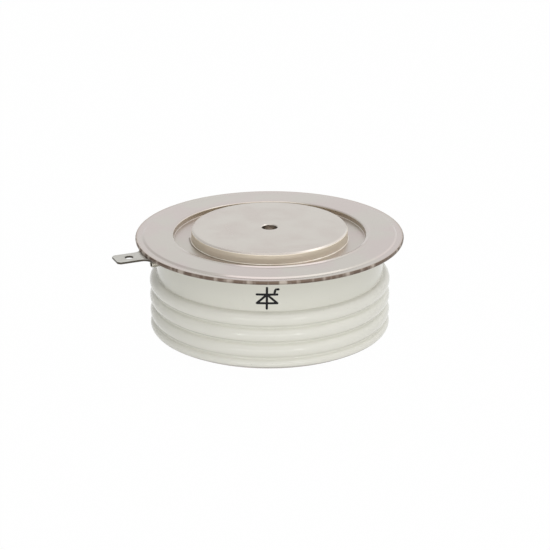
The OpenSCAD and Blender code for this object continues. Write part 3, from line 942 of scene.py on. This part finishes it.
tab = punched(tab_outline(), tab_tip - TAB_HOLE_INSET, TAB_HOLE_RADIUS, tab_sheet, TAB_EDGE)
tab.transform(Matrix.Translation((0, 0, tab_low * MM)) @ Matrix.Rotation(TAB_ANGLE, 4, "Z"))
tab_plate = surface("strip plating", {"Metallic": 1.0}, strip_plate)
fitted("plug_in_tab", tab, tab_plate, ["auxiliary_cathode_tab"])


# Circuit sign: the general thyristor sign, screen-printed in black on the neck and fired. It shows which
# face is the cathode. It is laid out flat in millimetres and then wrapped on the neck.

SIGN_ANGLE = math.radians(-91.33)
SIGN_BAR_Z = 19.76
SIGN_WIDTH = 4.85
SIGN_HEIGHT = 1.98
SIGN_ABOVE = 1.5
SIGN_BELOW = 3.2
SIGN_LEAN = 0.06
SIGN_LINE = 0.5
SIGN_INK = 0.012
GATE_ROOT = 1.55
GATE_LEAN = 0.15
GATE_RISE = 1.17
GATE_BEND = 0.45
GATE_END = 2.45
GATE_STEPS = 4
STROKE_STEPS = 8
WRAP_CUTS = 12
WRAP_PITCH = 0.2425

INK = (0.006, 0.006, 0.007)
INK_WORN = (0.02, 0.019, 0.018)


def fired_ink(wire):
    """Black ceramic ink, a little thin in places."""
    thin = noise(wire, place(wire), 2.5, detail=4.0)
    return {
        "Base Color": blend(wire, ease(wire, thin, 0.55, 0.8), INK, INK_WORN),
        "Roughness": 0.35 + 0.2 * thin,
        "Normal": relief(wire, thin, 3.0),
    }


def stroke(start, end):
    """One straight stroke with round ends, as a flat body that reaches as far above zero as below."""
    start = Vector(start)
    end = Vector(end)
    along = (end - start).normalized() * SIGN_LINE / 2
    across = Vector((-along.y, along.x))
    angles = [math.pi * k / STROKE_STEPS for k in range(STROKE_STEPS + 1)]
    outline = [end + across * math.cos(a) + along * math.sin(a) for a in angles]
    outline += [start - across * math.cos(a) - along * math.sin(a) for a in angles]
    body = bmesh.new()
    base = body.faces.new([body.verts.new((p.x, p.y, -SIGN_INK)) for p in outline])
    raised = bmesh.ops.extrude_face_region(body, geom=[base])["geom"]
    raised = [part for part in raised if isinstance(part, bmesh.types.BMVert)]
    bmesh.ops.translate(body, vec=(0, 0, 2 * SIGN_INK), verts=raised)
    return body


corner = (SIGN_WIDTH - SIGN_LINE) / 2
bend_start = (GATE_ROOT + GATE_LEAN, GATE_RISE - GATE_BEND)
bend_centre = (bend_start[0] + GATE_BEND, bend_start[1])
gate_bend = arc(bend_centre, bend_start, (bend_centre[0], GATE_RISE), GATE_STEPS)
sign_lines = [
    [(0, SIGN_ABOVE), (-SIGN_LEAN, -SIGN_BELOW)],
    [(-corner, 0), (corner, 0)],
    [(0, 0), (-corner, -SIGN_HEIGHT), (corner, -SIGN_HEIGHT), (0, 0)],
    [(GATE_ROOT, 0)] + gate_bend + [(GATE_END, GATE_RISE)],
]
strokes = [stroke(a, b) for line in sign_lines for a, b in zip(line, line[1:])]
sign = strokes[0]
for other in strokes[1:]:
    sign = joined(sign, other, "UNION")
for k in range(-WRAP_CUTS, WRAP_CUTS + 1):
    everything = sign.verts[:] + sign.edges[:] + sign.faces[:]
    bmesh.ops.bisect_plane(sign, geom=everything, plane_co=(k * WRAP_PITCH, 0, 0), plane_no=(1, 0, 0))
for vert in sign.verts:
    turn = SIGN_ANGLE + vert.co.x / neck_r
    out = neck_r + vert.co.z
    vert.co = Vector((out * math.cos(turn), out * math.sin(turn), SIGN_BAR_Z + vert.co.y)) * MM
black_ink = surface("fired ink", {"IOR": 1.5, "Specular IOR Level": 0.2}, fired_ink)
fitted("thyristor_sign", sign, black_ink)


# Studio: a wide pale floor that the cell stands on, in white surroundings that are dimmer at the left and
# brighter at the right. A long soft box hangs overhead, a small one at the right and a wide one above the
# front. A low window in front, with brighter edges, gives the highlights on the glaze.

FLOOR_RADIUS = 3.0
FLOOR_STEPS = 96
FLOOR_WHITE = (0.86, 0.86, 0.86)
FLOOR_GLOW = 0.99
FLOOR_BOUNCE = 0.2
SKY = 0.72
DARK_SIDE = 0.65
DARK_REFLECTED = 0.2
DARK_FROM = -0.1
DARK_FULL = -0.7
BRIGHT_SIDE = 0.32
BRIGHT_FROM = 0.3
BRIGHT_FULL = 0.7

scene = bpy.context.scene
scene.view_settings.view_transform = "Standard"


def ray(wire, kind):
    """1 for rays of a kind, and 0 for others."""
    return wire.add("ShaderNodeLightPath", output=kind)


def seen(wire):
    """1 where a ray comes from the camera, a reflection or a glass, and 0 for the light on the cell."""
    mirrored = ray(wire, "Is Glossy Ray") + ray(wire, "Is Transmission Ray")
    return wire.math("MINIMUM", ray(wire, "Is Camera Ray") + mirrored, 1.0)


floor_body = bmesh.new()
bmesh.ops.create_circle(floor_body, cap_ends=True, segments=FLOOR_STEPS, radius=FLOOR_RADIUS)
floor_mesh = bpy.data.meshes.new("floor")
floor_body.to_mesh(floor_mesh)
floor_body.free()
floor = bpy.data.objects.new("floor", floor_mesh)
scene.collection.objects.link(floor)
floor_paper = bpy.data.materials.new("floor paper")
floor_paper.use_nodes = True
paper_nodes = floor_paper.node_tree.nodes
paper_nodes.remove(paper_nodes["Principled BSDF"])
floor_wire = Wire(floor_paper.node_tree)
matt = floor_wire.add("ShaderNodeBsdfDiffuse", inputs={"Color": (*FLOOR_WHITE, 1)})
glow = floor_wire.add("ShaderNodeEmission", inputs={"Color": (1, 1, 1, 1), "Strength": 1.0})
glow_share = seen(floor_wire) * (FLOOR_GLOW - FLOOR_BOUNCE) + FLOOR_BOUNCE
lit = floor_wire.add("ShaderNodeMixShader", inputs={0: glow_share, 1: matt, 2: glow})
clear = floor_wire.add("ShaderNodeBsdfTransparent")
below = floor_wire.add("ShaderNodeNewGeometry", output="Backfacing")
one_sided = floor_wire.add("ShaderNodeMixShader", inputs={0: below, 1: lit, 2: clear})
floor_paper.node_tree.links.new(one_sided.socket, paper_nodes["Material Output"].inputs["Surface"])
floor_mesh.materials.append(floor_paper)

world = bpy.data.worlds.new("white surroundings")
world.use_nodes = True
scene.world = world
sky = world.node_tree.nodes["Background"]
sky.inputs["Color"].default_value = (1, 1, 1, 1)
sky_wire = Wire(world.node_tree)
sky_seen = seen(sky_wire)
rightward = share_along(sky_wire, sky_wire.add("ShaderNodeTexCoord", output="Generated"), "X")
bright = ease(sky_wire, rightward, BRIGHT_FROM, BRIGHT_FULL) * BRIGHT_SIDE * sky_seen
dark_level = DARK_SIDE - (DARK_SIDE - DARK_REFLECTED) * sky_seen
dark = ease(sky_wire, rightward, DARK_FROM, DARK_FULL) * dark_level
sides = (bright - dark) * (1 - ray(sky_wire, "Is Camera Ray"))
sky_level = (SKY + (1 - SKY) * sky_seen) * (1 + sides)
world.node_tree.links.new(sky_level.socket, sky.inputs["Strength"])


def soft_box(name, azimuth, elevation, distance, width, height, power):
    """A lamp that faces the cell. Azimuth 0 is in front of it and 90 at its right."""
    lamp = bpy.data.lights.new(name, "AREA")
    lamp.shape = "RECTANGLE"
    lamp.size = width
    lamp.size_y = height
    lamp.energy = power
    holder = bpy.data.objects.new(name, lamp)
    turn = math.radians(azimuth)
    rise = math.radians(elevation)
    back = Vector((math.sin(turn) * math.cos(rise), -math.cos(turn) * math.cos(rise), math.sin(rise)))
    holder.location = Vector((0, 0, flange_z / 2 * MM)) + back * distance
    holder.rotation_euler = (-back).to_track_quat("-Z", "Y").to_euler()
    holder.visible_camera = False
    scene.collection.objects.link(holder)


soft_box("overhead soft box", azimuth=90, elevation=77, distance=0.75, width=0.3, height=0.94, power=0.5)
soft_box("right soft box", azimuth=95, elevation=50, distance=0.9, width=0.3, height=0.3, power=0.15)
soft_box("front soft box", azimuth=-8, elevation=50, distance=0.9, width=1.2, height=0.3, power=1.3)
soft_box("low window", azimuth=0, elevation=3.3, distance=0.9, width=1.2, height=0.1, power=1.4)
for edge_name, edge_azimuth in (("left window edge", -28), ("right window edge", 27)):
    soft_box(edge_name, edge_azimuth, elevation=3.3, distance=0.9, width=0.12, height=0.1, power=0.25)


# Camera: a long lens in front of the cell and a little above it. Its place and angles are the ones at
# which the cell's round edges fall on the photo's ellipses.

PICTURE_SIDE = 550
FOCAL_PIXELS = 1875.2
SENSOR_WIDTH = 36
NEAREST = 0.01
CAMERA_DISTANCE = 0.42
CAMERA_ELEVATION = math.radians(19.667)
CAMERA_PITCH = math.radians(20.985)
CAMERA_YAW = math.radians(0.173)
CAMERA_ROLL = math.radians(-0.157)

camera = bpy.data.objects.new("camera", bpy.data.cameras.new("camera"))
scene.collection.objects.link(camera)
camera.data.sensor_width = SENSOR_WIDTH
camera.data.lens = SENSOR_WIDTH * FOCAL_PIXELS / PICTURE_SIDE
camera.data.clip_start = NEAREST
camera_back = Vector((0, -math.cos(CAMERA_ELEVATION), math.sin(CAMERA_ELEVATION)))
camera_spot = Vector((0, 0, flange_z * MM)) + camera_back * CAMERA_DISTANCE
aim = Matrix.Rotation(-CAMERA_YAW, 4, "Z") @ Matrix.Rotation(math.pi / 2 - CAMERA_PITCH, 4, "X")
camera.matrix_world = Matrix.Translation(camera_spot) @ aim @ Matrix.Rotation(CAMERA_ROLL, 4, "Z")
scene.camera = camera
